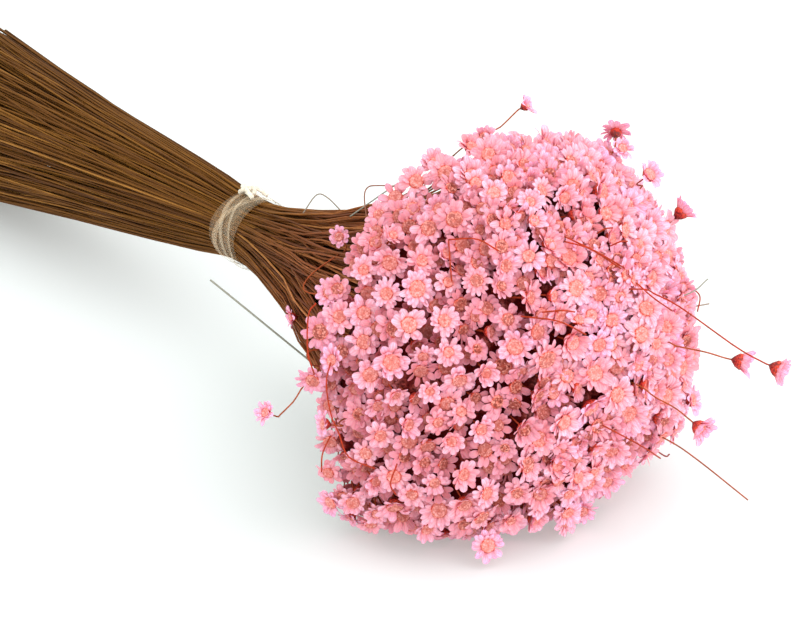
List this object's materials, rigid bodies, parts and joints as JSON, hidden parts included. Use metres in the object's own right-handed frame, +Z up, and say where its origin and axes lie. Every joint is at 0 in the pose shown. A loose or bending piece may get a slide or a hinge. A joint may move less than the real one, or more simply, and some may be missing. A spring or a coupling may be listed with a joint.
{
  "type": "dried glixia bunch",
  "caption": "Dried glixia bunch lying on its side: a dense dome of small pink daisy heads on thin brown stems, tied at the waist and spread in a tail.",
  "frame": {"origin": "on the table, under the middle of the bunch's box", "axes": "+X along the bunch from the cut stem ends towards the heads, +Z up from the table it lies on"},
  "size_m": [0.5288, 0.151, 0.1244],
  "materials": {
    "flower_heads": "matte papery pink petals with a faint sheen round grainy salmon discs, over dark red cups",
    "stems": "matte dry ochre to red-brown stems",
    "tie": "whitish see-through elastic, slightly glossy"
  },
  "bodies": {
    "root": {"crown_heads": "flower_heads", "middle_heads_1": "flower_heads", "middle_heads_2": "flower_heads", "middle_heads_3": "flower_heads", "middle_heads_4": "flower_heads", "middle_heads_5": "flower_heads", "middle_heads_6": "flower_heads", "rim_heads_1": "flower_heads", "rim_heads_2": "flower_heads", "rim_heads_3": "flower_heads", "rim_heads_4": "flower_heads", "rim_heads_5": "flower_heads", "rim_heads_6": "flower_heads", "rim_heads_7": "flower_heads", "rim_heads_8": "flower_heads", "rim_heads_9": "flower_heads", "rim_heads_10": "flower_heads", "rim_heads_11": "flower_heads", "rim_heads_12": "flower_heads", "stem_lock_1": "stems", "stem_lock_2": "stems", "stem_lock_3": "stems", "stem_lock_4": "stems", "stem_lock_5": "stems", "stem_lock_6": "stems", "stem_lock_7": "stems", "stem_lock_8": "stems", "stem_lock_9": "stems", "stem_lock_10": "stems", "stem_lock_11": "stems", "stem_lock_12": "stems", "tie_band": "tie"}
  },
  "joints": []
}
